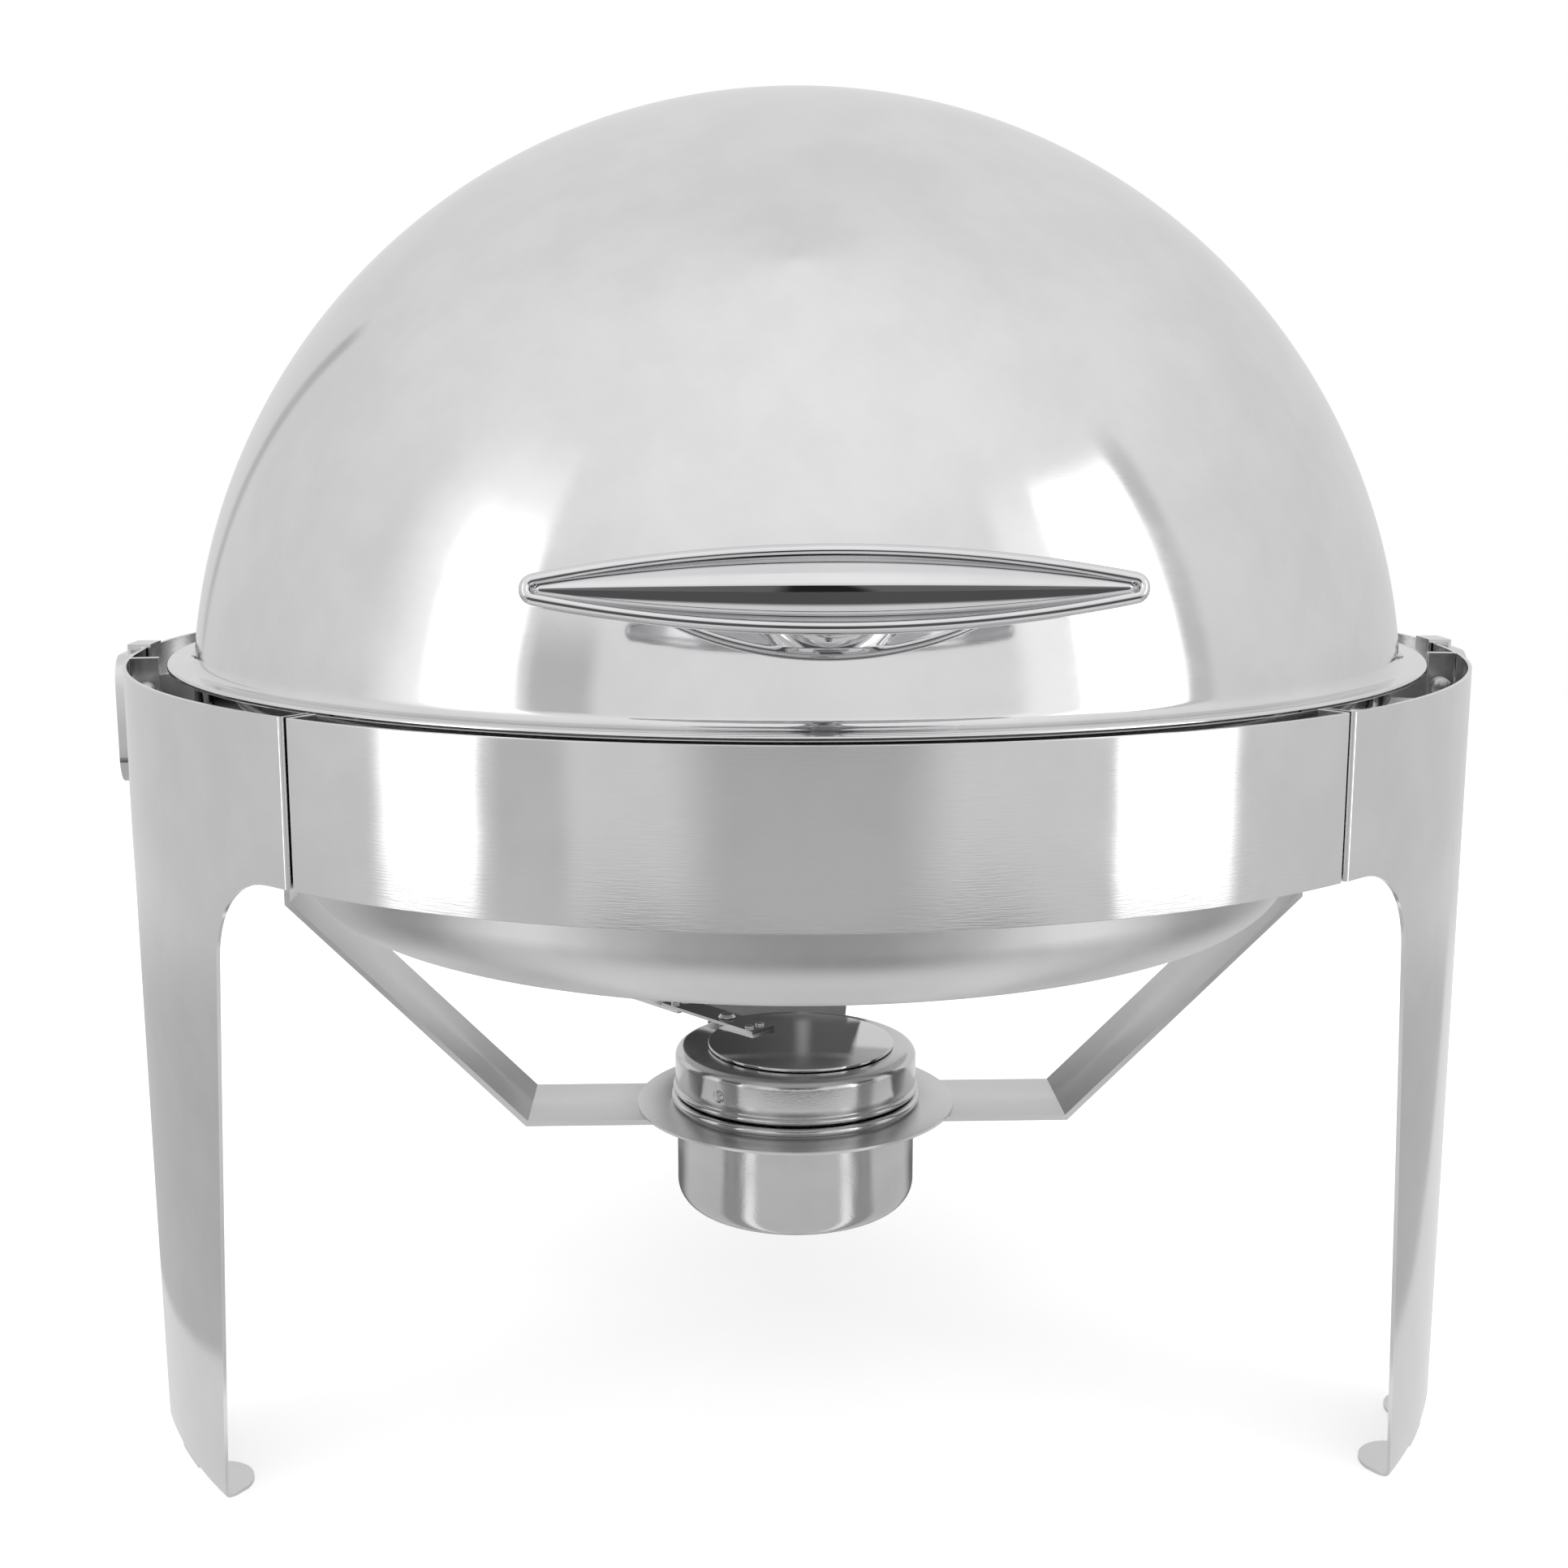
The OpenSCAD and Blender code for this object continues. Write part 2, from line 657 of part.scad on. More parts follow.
module burner_cup() {
    corner = 9;
    color(polished) placed() rotate_extrude() {
        difference() {
            pan_profile(cup_r, cup_bottom, bead_z, corner);
            pan_profile(cup_r - cup_t, cup_bottom + cup_t, bead_z + 1, corner - cup_t);
        }
        translate([cup_r + bead_r - 1, bead_z]) circle(bead_r);
    }
}

module collar_profile() {
    shoulder = 6;
    step = 0.9;
    spigot_r = cup_r - cup_t - 0.6;
    spigot_len = 3.5;
    difference() {
        union() {
            translate([0, collar_bottom]) square([collar_r, collar_top - collar_bottom - shoulder]);
            translate([0, collar_bottom]) square([collar_r - shoulder, collar_top - collar_bottom]);
            translate([collar_r - shoulder, collar_top - shoulder]) circle(shoulder);
            translate([0, collar_bottom]) square([collar_r + step, 3]);
        }
        union() {
            translate([0, collar_bottom - 1])
                square([collar_r - cup_t, collar_top - collar_bottom + 1 - shoulder]);
            translate([0, collar_bottom - 1]) square([collar_r - shoulder, collar_top - collar_bottom + 1 - cup_t]);
            translate([collar_r - shoulder, collar_top - shoulder]) circle(shoulder - cup_t);
            translate([0, collar_bottom]) square([snuffer_r - 1.8, 40]);
        }
    }
    translate([spigot_r - cup_t, collar_bottom]) square([collar_r - spigot_r + cup_t, cup_t]);
    translate([spigot_r - cup_t, collar_bottom - spigot_len]) square([cup_t, spigot_len + cup_t]);
}

module burner_collar() {
    color(polished) placed() difference() {
        rotate_extrude() collar_profile();
        collar_rivet_shanks(1.25);
        on_snuffer_arm(pivot_s) translate([0, 0, collar_top - 3]) cylinder(h = 5, r = pivot_r + 0.05);
    }
}

module collar_rivet_shanks(r) {
    for (a = [-40, 140]) rotate([0, 0, a]) translate([0, 0, 93.5]) rotate([90, 0, 0])
        translate([0, 0, collar_r - cup_t - 1.2]) cylinder(h = cup_t + 1.8, r = r);
}

module collar_rivets() {
    color(fastener) placed() {
        collar_rivet_shanks(1.2);
        for (a = [-40, 140]) rotate([0, 0, a]) translate([0, 0, 93.5]) rotate([90, 0, 0]) {
            translate([0, 0, collar_r + 0.1]) cylinder(h = 1, r1 = 2.4, r2 = 1.4);
            translate([0, 0, collar_r - cup_t - 1.2]) cylinder(h = 1, r = 2);
        }
    }
}

// Places its children on the snuffer arm's centre line, s along it and d across it
module on_snuffer_arm(s, d = 0) {
    translate([snuffer_start[0], snuffer_start[1], 0]) rotate([0, 0, snuffer_dir]) translate([s, d, 0]) children();
}

module snuffer_rivet_shanks(r, z0, z1) {
    for (d = [-2.7, 2.7]) {
        on_snuffer_arm(5, d) translate([0, 0, z0]) cylinder(h = z1 - z0, r = r);
        on_snuffer_arm(grip_s + 5, d) translate([0, 0, z0]) cylinder(h = z1 - z0, r = r);
    }
}

// Shouldered rivet in the collar's top, on which the snuffer swings
module snuffer_pivot() {
    color(fastener) placed() on_snuffer_arm(pivot_s) {
        translate([0, 0, collar_top - 2]) cylinder(h = arm_plate_z + snuffer_t + part_gap - collar_top + 2 + eps,
            r = pivot_r);
        translate([0, 0, collar_top - 2]) cylinder(h = 1.1, r = 3);
        translate([0, 0, collar_top + 0.05]) cylinder(h = arm_plate_z - part_gap - collar_top - 0.05, r = 3);
        translate([0, 0, arm_plate_z + snuffer_t + part_gap]) cylinder(h = 1.2, r1 = 3.4, r2 = 2.4);
    }
}

module snuffer_disc() {
    color(polished) placed() difference() {
        translate([2, 0, snuffer_z]) cylinder(h = snuffer_t, r = snuffer_r);
        snuffer_rivet_shanks(1.05, snuffer_z - 1, snuffer_z + 3);
    }
}

module snuffer_arm() {
    color(steel) placed() difference() {
        on_snuffer_arm(0) translate([0, -snuffer_arm_w / 2, arm_plate_z])
            cube([grip_s + 10, snuffer_arm_w, snuffer_t]);
        snuffer_rivet_shanks(1.05, arm_plate_z - 1, arm_plate_z + 3);
        on_snuffer_arm(pivot_s) translate([0, 0, arm_plate_z - 1]) cylinder(h = 4, r = pivot_r + 0.05);
    }
}

module snuffer_grip() {
    color(steel) placed() difference() {
        on_snuffer_arm(grip_s) translate([0, -snuffer_arm_w / 2, snuffer_z])
            cube([grip_len, snuffer_arm_w, snuffer_t]);
        snuffer_rivet_shanks(1.05, snuffer_z - 1, snuffer_z + 3);
    }
}

module snuffer_rivets() {
    top = arm_plate_z + snuffer_t;
    color(fastener) placed() {
        snuffer_rivet_shanks(1, snuffer_z + 0.1, top + eps);
        snuffer_rivet_shanks(1.7, top, top + 0.7);
    }
}

front_skirt();
rear_left_skirt();
rear_right_skirt();
left_leg();
right_leg();
rear_leg();
joint_bolts();
joint_nuts();
pan_bracket_left();
pan_bracket_right();
support_ring();
burner_arm_left();
burner_arm_right();
burner_ring();
hinge_cover_left();
hinge_cover_right();
hinge_bracket_left();
hinge_bracket_right();
hinge_bolts();
hinge_nuts();
hinge_bushes();
hinge_spacers();
hinge_washers();
dome_cover();
hinge_ear_left();
hinge_ear_right();
handle_bar();
handle_stem();
handle_screws();
water_pan();
food_pan();
burner_cup();
burner_collar();
collar_rivets();
snuffer_pivot();
snuffer_disc();
snuffer_arm();
snuffer_grip();
snuffer_rivets();
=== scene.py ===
from math import atan2, cos, pi, radians, sin, sqrt, tan

import bmesh
import bpy
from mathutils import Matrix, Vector


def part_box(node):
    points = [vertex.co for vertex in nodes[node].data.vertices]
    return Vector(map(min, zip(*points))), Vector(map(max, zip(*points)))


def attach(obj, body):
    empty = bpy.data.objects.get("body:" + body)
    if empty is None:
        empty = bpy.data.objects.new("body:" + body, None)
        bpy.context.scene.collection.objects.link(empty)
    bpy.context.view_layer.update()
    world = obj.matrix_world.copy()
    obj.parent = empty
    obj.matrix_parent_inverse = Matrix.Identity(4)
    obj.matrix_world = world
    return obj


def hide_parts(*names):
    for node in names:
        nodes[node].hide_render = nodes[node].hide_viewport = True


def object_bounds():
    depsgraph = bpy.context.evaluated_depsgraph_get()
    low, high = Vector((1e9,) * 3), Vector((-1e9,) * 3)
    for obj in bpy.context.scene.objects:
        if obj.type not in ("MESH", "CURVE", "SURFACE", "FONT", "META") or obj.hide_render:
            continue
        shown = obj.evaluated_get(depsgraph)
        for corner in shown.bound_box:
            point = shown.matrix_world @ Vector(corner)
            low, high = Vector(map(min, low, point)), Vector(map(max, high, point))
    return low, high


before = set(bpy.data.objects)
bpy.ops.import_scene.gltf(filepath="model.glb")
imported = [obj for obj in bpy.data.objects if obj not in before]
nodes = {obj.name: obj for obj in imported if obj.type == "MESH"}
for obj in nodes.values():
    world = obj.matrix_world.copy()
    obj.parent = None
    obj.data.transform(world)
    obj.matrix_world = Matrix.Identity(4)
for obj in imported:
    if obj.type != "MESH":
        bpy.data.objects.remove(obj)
cad_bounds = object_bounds()
scene = bpy.context.scene


# ---------------------------------------------------------------- node helpers

class Graph:
    """Short ways to add shader nodes to one tree."""

    def __init__(self, tree):
        self.tree = tree
        tree.nodes.clear()

    def node(self, kind, **settings):
        made = self.tree.nodes.new(kind)
        for name, value in settings.items():
            setattr(made, name, value)
        return made

    def put(self, socket, value):
        if isinstance(value, bpy.types.NodeSocket):
            self.tree.links.new(value, socket)
        else:
            socket.default_value = value

    def math(self, operation, a, b=0.0, c=0.0, clamp=False):
        made = self.node("ShaderNodeMath", operation=operation, use_clamp=clamp)
        for socket, value in zip(made.inputs, (a, b, c)):
            self.put(socket, value)
        return made.outputs[0]

    def step(self, value, low, high, out_low=0.0, out_high=1.0):
        made = self.node("ShaderNodeMapRange", interpolation_type="SMOOTHSTEP")
        for socket, item in zip(made.inputs, (value, low, high, out_low, out_high)):
            self.put(socket, item)
        return made.outputs[0]

    def mix(self, factor, a, b):
        made = self.node("ShaderNodeMix", data_type="FLOAT")
        for socket, item in zip(made.inputs[:4], (factor, None, a, b)):
            if item is not None:
                self.put(socket, item)
        return made.outputs[0]

    def mix_color(self, factor, a, b):
        made = self.node("ShaderNodeMix", data_type="RGBA")
        self.put(made.inputs[0], factor)
        self.put(made.inputs[6], a)
        self.put(made.inputs[7], b)
        return made.outputs[2]

    def noise(self, vector, scale, detail=2.0, roughness=0.5):
        made = self.node("ShaderNodeTexNoise")
        self.put(made.inputs["Vector"], vector)
        made.inputs["Scale"].default_value = scale
        made.inputs["Detail"].default_value = detail
        made.inputs["Roughness"].default_value = roughness
        return made.outputs["Fac"]


# ---------------------------------------------------------------- studio

def studio_world():
    """A light tent by direction, with two softboxes: azimuth 0 faces the front, 90 the right."""
    world = bpy.data.worlds.new("studio")
    world.use_nodes = True
    scene.world = world
    g = Graph(world.node_tree)
    split = g.node("ShaderNodeSeparateXYZ")
    g.put(split.inputs[0], g.node("ShaderNodeTexCoord").outputs["Generated"])
    x, y, z = split.outputs
    turn = g.math("ARCTAN2", x, g.math("MULTIPLY", y, -1.0))
    azimuth = g.math("MULTIPLY", turn, 180 / pi)
    elevation = g.math("MULTIPLY", g.math("ARCSINE", z), 180 / pi)

    def both(a, b):
        return g.math("MULTIPLY", a, b)

    def panel(left, right, top, soft_left, soft_right, soft_top):
        """Where a direction falls on an upright panel between two azimuths and under a height."""
        sides = both(g.step(azimuth, left - soft_left, left + soft_left),
                     g.step(azimuth, right + soft_right, right - soft_right))
        return both(sides, g.step(elevation, top + soft_top, top - soft_top))

    # the tent: brighter overhead, dimmer towards the floor and the back
    level = g.mix(g.step(elevation, -12, 10), 0.85, 0.96)
    level = g.mix(g.step(elevation, 10, 50), level, 1.10)
    behind = g.math("MULTIPLY_ADD", g.math("COSINE", turn), -0.5, 0.5)
    level = both(level, g.math("MULTIPLY_ADD", behind, -0.18, 1.0))

    # the opening in front, below the lens, and a seam in the cloth at the left rear
    opening = both(g.step(g.math("ABSOLUTE", azimuth), 24, 12), g.step(elevation, -2, -8))
    level = g.mix(opening, level, 0.58)
    seam = g.math("ABSOLUTE", g.math("ADD", azimuth, g.math("MULTIPLY_ADD", elevation, -0.36, 147.0)))
    seam_height = both(g.step(elevation, 29, 24), g.step(elevation, -6, -2))
    level = g.mix(both(g.step(seam, 2.6, 0.6), seam_height), level, 0.58)

    # each softbox has a bright core in a fainter spread, with a dim gap or a stand beside it
    above = g.step(elevation, -3, 0)
    level = g.mix(both(panel(-76, -53, 37, 12, 2, 13), above), level, 1.5)
    level = g.mix(panel(-70, -53, 28, 3, 1.5, 8), level, 2.4)
    level = g.mix(panel(-50, -38, 17, 1, 2, 7), level, 0.66)
    level = g.mix(both(panel(38, 70, 39, 2, 1, 6), above), level, 1.2)
    level = g.mix(panel(49, 70, 37, 1, 1.5, 4), level, 2.4)
    level = g.mix(both(panel(71, 76, 39, 1, 1.5, 5), above), level, 0.72)

    # the backdrop itself is plain white
    level = g.mix(g.node("ShaderNodeLightPath").outputs["Is Camera Ray"], level, 1.0)
    shade = g.node("ShaderNodeBackground")
    g.put(shade.inputs["Color"], level)
    shade.inputs["Strength"].default_value = 1.0
    g.put(g.node("ShaderNodeOutputWorld").inputs["Surface"], shade.outputs[0])


def disc(name, radius, height, material):
    form = bmesh.new()
    bmesh.ops.create_circle(form, cap_ends=True, segments=96, radius=radius)
    mesh = bpy.data.meshes.new(name)
    form.to_mesh(mesh)
    form.free()
    mesh.materials.append(material)
    piece = bpy.data.objects.new(name, mesh)
    scene.collection.objects.link(piece)
    piece.location = (0, 0, height)
    return piece


def studio_floor():
    """Pale paper, which fades out some way off, and the darker room that only polished steel sees."""
    ground = cad_bounds[0][2]
    paper = bpy.data.materials.new("floor_paper")
    paper.use_nodes = True
    g = Graph(paper.node_tree)
    place = g.node("ShaderNodeTexCoord").outputs["Object"]
    length = g.node("ShaderNodeVectorMath", operation="LENGTH")
    g.put(length.inputs[0], place)
    sheet = g.node("ShaderNodeBsdfPrincipled")
    fibres = g.noise(place, 40, 4)
    g.put(sheet.inputs["Base Color"], g.mix_color(fibres, (.93, .93, .93, 1), (.96, .96, .96, 1)))
    sheet.inputs["Roughness"].default_value = 0.6
    sheet.inputs["Emission Color"].default_value = (1, 1, 1, 1)
    sheet.inputs["Emission Strength"].default_value = 0.45
    clear = g.node("ShaderNodeBsdfTransparent")
    blend = g.node("ShaderNodeMixShader")
    g.put(blend.inputs[0], g.step(length.outputs["Value"], 0.9, 2.0))
    g.put(blend.inputs[1], sheet.outputs[0])
    g.put(blend.inputs[2], clear.outputs[0])
    g.put(g.node("ShaderNodeOutputMaterial").inputs["Surface"], blend.outputs[0])
    floor = disc("floor", 2.4, ground - 0.0002, paper)
    floor.visible_glossy = False

    room = bpy.data.materials.new("room_floor")
    room.use_nodes = True
    g = Graph(room.node_tree)
    place = g.node("ShaderNodeTexCoord").outputs["Object"]
    split = g.node("ShaderNodeSeparateXYZ")
    g.put(split.inputs[0], place)
    x, y, z = split.outputs
    length = g.node("ShaderNodeVectorMath", operation="LENGTH")
    g.put(length.inputs[0], place)
    far = length.outputs["Value"]
    # beneath the object, as polished steel sees it: a painted shadow, darkest behind and beside the burner,
    # with a painted pool of light spilled from each softbox
    azimuth = g.math("MULTIPLY", g.math("ARCTAN2", x, g.math("MULTIPLY", y, -1.0)), 180 / pi)
    away = g.math("ABSOLUTE", azimuth)
    floor_shade_and_spill = g.mix(g.step(away, 115, 140), 0.66, 0.17)
    floor_shade_and_spill = g.mix(g.math("MULTIPLY", g.step(away, 47, 52), g.step(away, 74, 66)), floor_shade_and_spill, 0.40)
    floor_shade_and_spill = g.mix(g.step(g.math("ABSOLUTE", g.math("SUBTRACT", away, 43)), 7, 2), floor_shade_and_spill, 1.2)
    edge = g.math("SUBTRACT", x, g.math("MULTIPLY", g.math("MAXIMUM", g.math("ADD", y, 0.085), 0.0), 0.65))
    sheet_light = g.math("MULTIPLY", g.step(x, -0.280, -0.273), g.step(edge, 0.277, 0.270))
    # the painted shadow covers the middle; further out the room is evenly lit
    level = g.mix(g.step(far, 0.20, 0.235), floor_shade_and_spill, 0.82)
    level = g.mix(sheet_light, 0.58, level)
    level = g.mix(g.step(far, 0.6, 0.9), level, 0.74)
    ahead = g.math("MULTIPLY", g.step(y, -0.33, -0.40), g.step(y, -1.0, -0.8))
    aside = g.step(g.math("ABSOLUTE", x), 0.55, 0.35)
    level = g.mix(g.math("MULTIPLY", ahead, aside), level, 0.10)
    glow = g.node("ShaderNodeEmission")
    g.put(glow.inputs["Color"], level)
    clear = g.node("ShaderNodeBsdfTransparent")
    blend = g.node("ShaderNodeMixShader")
    g.put(blend.inputs[0], g.step(far, 0.95, 1.2))
    g.put(blend.inputs[1], glow.outputs[0])
    g.put(blend.inputs[2], clear.outputs[0])
    g.put(g.node("ShaderNodeOutputMaterial").inputs["Surface"], blend.outputs[0])
    card = disc("room_floor", 1.25, ground - 0.0004, room)
    card.visible_camera = card.visible_diffuse = card.visible_shadow = False


def flag(name, corners, tone):
    """A dark card beside the object which only polished steel sees."""
    cloth = bpy.data.materials.new(name + "_cloth")
    cloth.use_nodes = True
    g = Graph(cloth.node_tree)
    split = g.node("ShaderNodeSeparateXYZ")
    g.put(split.inputs[0], g.node("ShaderNodeTexCoord").outputs["Object"])
    glow = g.node("ShaderNodeEmission")
    g.put(glow.inputs["Color"], tone(g, split.outputs[0]))
    g.put(g.node("ShaderNodeOutputMaterial").inputs["Surface"], glow.outputs[0])
    mesh = bpy.data.meshes.new(name)
    mesh.from_pydata(corners, [], [[0, 1, 2, 3]])
    mesh.materials.append(cloth)
    card = bpy.data.objects.new(name, mesh)
    scene.collection.objects.link(card)
    card.visible_camera = card.visible_diffuse = card.visible_shadow = False


def handle_tone(g, x):
    across = g.math("ABSOLUTE", x)
    return g.mix(g.step(across, 0.020, 0.010), g.step(across, 0.02, 0.16, 0.15, 0.24), 0.02)


# painted shade: the pan's shaded underside as the snuffer lid reflects it, a little lighter to the right,
# with a painted highlight streak
def pan_shade_and_streak_tone(g, x):
    streak = g.step(g.math("ABSOLUTE", g.math("SUBTRACT", x, 0.008)), 0.006, 0.0)
    return g.mix(streak, g.step(x, -0.05, 0.03, 0.06, 0.12), 0.28)


def camera():
    data = bpy.data.cameras.new("camera")
    data.sensor_width = 36
    data.lens = 46.15
    eye = bpy.data.objects.new("camera", data)
    scene.collection.objects.link(eye)
    eye.location = (-0.0300, -0.7274, 0.3360)
    eye.rotation_euler = (radians(90 - 10.3), radians(0.0), radians(-2.0))
    scene.camera = eye


# ---------------------------------------------------------------- materials

def steel(name, color, rough, grain="around", grain_bump=0.02, wave=0.02, smudge=0.03, anisotropic=0.0,
          edge=0.35):
    """Stainless steel with a directional grain, a slight unevenness and rougher cut edges, lightened there as
    a painted edge highlight.
    """
    material = bpy.data.materials.new(name)
    material.use_nodes = True
    g = Graph(material.node_tree)
    place = g.node("ShaderNodeTexCoord").outputs["Object"]
    split = g.node("ShaderNodeSeparateXYZ")
    g.put(split.inputs[0], place)
    x, y, z = split.outputs
    join = g.node("ShaderNodeCombineXYZ")
    if grain == "around":
        g.put(join.inputs[0], g.math("MULTIPLY", g.math("ARCTAN2", x, y), 0.012))
        g.put(join.inputs[1], z)
        square = g.math("ADD", g.math("MULTIPLY", x, x), g.math("MULTIPLY", y, y))
        g.put(join.inputs[2], g.math("SQRT", square))
    else:
        g.put(join.inputs[0], g.math("MULTIPLY", x, 0.03 if grain == "x" else 1.0))
        g.put(join.inputs[1], y)
        g.put(join.inputs[2], g.math("MULTIPLY", z, 0.03 if grain == "z" else 1.0))
    fine = g.noise(join.outputs[0], 2600, 3)
    broad = g.noise(place, 9, 3)
    cloud = g.noise(place, 38, 5, 0.6)
    shader = g.node("ShaderNodeBsdfPrincipled")
    shader.inputs["Metallic"].default_value = 1.0
    shader.inputs["IOR"].default_value = 2.5
    shader.inputs["Anisotropic"].default_value = anisotropic
    shader.inputs["Anisotropic Rotation"].default_value = 0.25
    if anisotropic:
        around = g.node("ShaderNodeTangent", direction_type="RADIAL", axis="Z")
        g.put(shader.inputs["Tangent"], around.outputs[0])
    rounded = g.node("ShaderNodeBevel", samples=4)
    rounded.inputs["Radius"].default_value = 0.0006
    flat = g.node("ShaderNodeNewGeometry").outputs["Normal"]
    dot = g.node("ShaderNodeVectorMath", operation="DOT_PRODUCT")
    g.put(dot.inputs[0], rounded.outputs[0])
    g.put(dot.inputs[1], flat)
    # sharp edges are rougher, as a rough cut edge is, and lighter in colour, which is a painted edge
    # highlight
    cut_edge_and_glint = g.math("MULTIPLY", g.step(dot.outputs["Value"], 0.985, 0.88), edge)
    tone = g.mix(g.step(cloud, 0.3, 0.7), 0.97, 1.03)
    base = g.node("ShaderNodeVectorMath", operation="SCALE")
    g.put(base.inputs[0], color)
    g.put(base.inputs["Scale"], tone)
    # the lighter colour at sharp edges is a painted edge highlight
    g.put(shader.inputs["Base Color"], g.mix_color(cut_edge_and_glint, base.outputs[0], (.86, .86, .86, 1)))
    roughness = g.math("ADD", g.step(cloud, 0.25, 0.75, rough - smudge, rough + smudge),
                       g.math("MULTIPLY_ADD", fine, 0.06, -0.03))
    g.put(shader.inputs["Roughness"], g.math("ADD", roughness, g.math("MULTIPLY", cut_edge_and_glint, 0.12)))
    lines = g.node("ShaderNodeBump")
    lines.inputs["Strength"].default_value = grain_bump
    lines.inputs["Distance"].default_value = 0.001
    g.put(lines.inputs["Height"], fine)
    swell = g.node("ShaderNodeBump")
    swell.inputs["Strength"].default_value = wave
    swell.inputs["Distance"].default_value = 0.05
    g.put(swell.inputs["Height"], broad)
    g.put(swell.inputs["Normal"], lines.outputs[0])
    g.put(shader.inputs["Normal"], swell.outputs[0])
    out = g.node("ShaderNodeOutputMaterial")
    g.put(out.inputs["Surface"], shader.outputs[0])
    return material


def dress(material, *names):
    for name in names:
        mesh = nodes[name].data
        mesh.materials.clear()
        mesh.materials.append(material)


studio_world()
studio_floor()
flag("flag_low", [(-.13, -.29, .262), (.13, -.29, .262), (.2, -.75, .20), (-.2, -.75, .20)], handle_tone)
# painted shade: this card darkens the snuffer lid's reflection where the pan's shaded underside is, and adds
# a painted highlight streak
flag("pan_shade_flag", [(-.056, .12, .114), (.036, .12, .114), (.036, .12, .164), (-.056, .12, .164)],
     pan_shade_and_streak_tone)
camera()
scene.view_settings.view_transform = "Standard"

band_steel = steel("band_steel", (.66, .66, .665), 0.10, wave=0.008, smudge=0.02, anisotropic=0.8)
dome_steel = steel("dome_steel", (.68, .68, .685), 0.08, grain_bump=0.004, wave=0.004)
chrome = steel("handle_chrome", (.70, .70, .71), 0.04, grain_bump=0.002, wave=0.0, smudge=0.015)
bracket_steel = steel("bracket_steel", (.74, .74, .745), 0.34, grain="x", grain_bump=0.01, anisotropic=0.3,
                      edge=0.2)
pan_steel = steel("pan_steel", (.75, .75, .75), 0.42, grain_bump=0.02, anisotropic=0.3)
burner_polish = steel("burner_polish", (.66, .66, .665), 0.06, grain_bump=0.02, wave=0.0, anisotropic=0.4)
burner_steel = steel("burner_steel", (.62, .62, .625), 0.15, grain_bump=0.05, anisotropic=0.85)
fastener_steel = steel("fastener_steel", (.60, .60, .61), 0.25)
nylon = steel("nylon", (.1, .1, .1), 0.4)

dress(band_steel, "front_skirt", "rear_left_skirt", "rear_right_skirt", "left_leg", "right_leg", "rear_leg",
      "hinge_cover_left", "hinge_cover_right")
dress(dome_steel, "dome_cover", "hinge_ear_left", "hinge_ear_right")
dress(chrome, "handle_bar", "handle_stem")
dress(bracket_steel, "pan_bracket_left", "pan_bracket_right", "support_ring", "burner_arm_left",
      "burner_arm_right", "burner_ring", "hinge_bracket_left", "hinge_bracket_right", "snuffer_grip")
dress(burner_polish, "snuffer_arm")
dress(pan_steel, "water_pan", "food_pan")
dress(burner_steel, "burner_cup", "burner_collar", "snuffer_disc")
dress(fastener_steel, "joint_bolts", "joint_nuts", "hinge_bolts", "hinge_nuts", "hinge_washers",
      "hinge_spacers",
      "handle_screws", "collar_rivets", "snuffer_pivot", "snuffer_rivets")
dress(nylon, "hinge_bushes")


# ---------------------------------------------------------------- mesh helpers, in mm from the cover's axis

hoop_low, hoop_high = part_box("support_ring")
axis_y = (hoop_low[1] + hoop_high[1]) / 2
HINGE_Z = 235.0


def place(x, y, z):
    return (x / 1000, y / 1000 + axis_y, z / 1000)


def arc(cx, cy, r, a0, a1, steps):
    angles = [radians(a0 + (a1 - a0) * k / steps) for k in range(steps + 1)]
    return [(cx + r * cos(a), cy + r * sin(a)) for a in angles]


def rounded(corners, steps=4):
    """A closed outline whose corners (x, y, radius) are rounded."""
    made = []
    for k, (x, y, r) in enumerate(corners):
        here = Vector((x, y))
        back = (Vector(corners[k - 1][:2]) - here).normalized()
        ahead = (Vector(corners[(k + 1) % len(corners)][:2]) - here).normalized()
        if r <= 0 or abs(back.dot(ahead)) > 0.9999:
            made.append((x, y))
            continue
        half = back.angle(ahead) / 2
        start, end = here + back * (r / tan(half)), here + ahead * (r / tan(half))
        middle = here + (back + ahead).normalized() * (r / sin(half))
        for n in range(steps + 1):
            t = n / steps
            spot = (start - middle).lerp(end - middle, t).normalized() * r + middle
            made.append((spot.x, spot.y))
    return made


def build(name, points, faces, material, body, stands_for=(), sharp=38):
    mesh = bpy.data.meshes.new(name)
    mesh.from_pydata([place(*p) for p in points], [], faces)
    form = bmesh.new()
    form.from_mesh(mesh)
    bmesh.ops.remove_doubles(form, verts=form.verts, dist=2e-6)
    form.to_mesh(mesh)
    form.free()
    for face in mesh.polygons:
        face.use_smooth = True
    if sharp:
        mesh.set_sharp_from_angle(angle=radians(sharp))
    mesh.materials.append(material)
    piece = bpy.data.objects.new(name, mesh)
    scene.collection.objects.link(piece)
    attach(piece, body)
    if stands_for:
        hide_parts(*stands_for)
    return piece


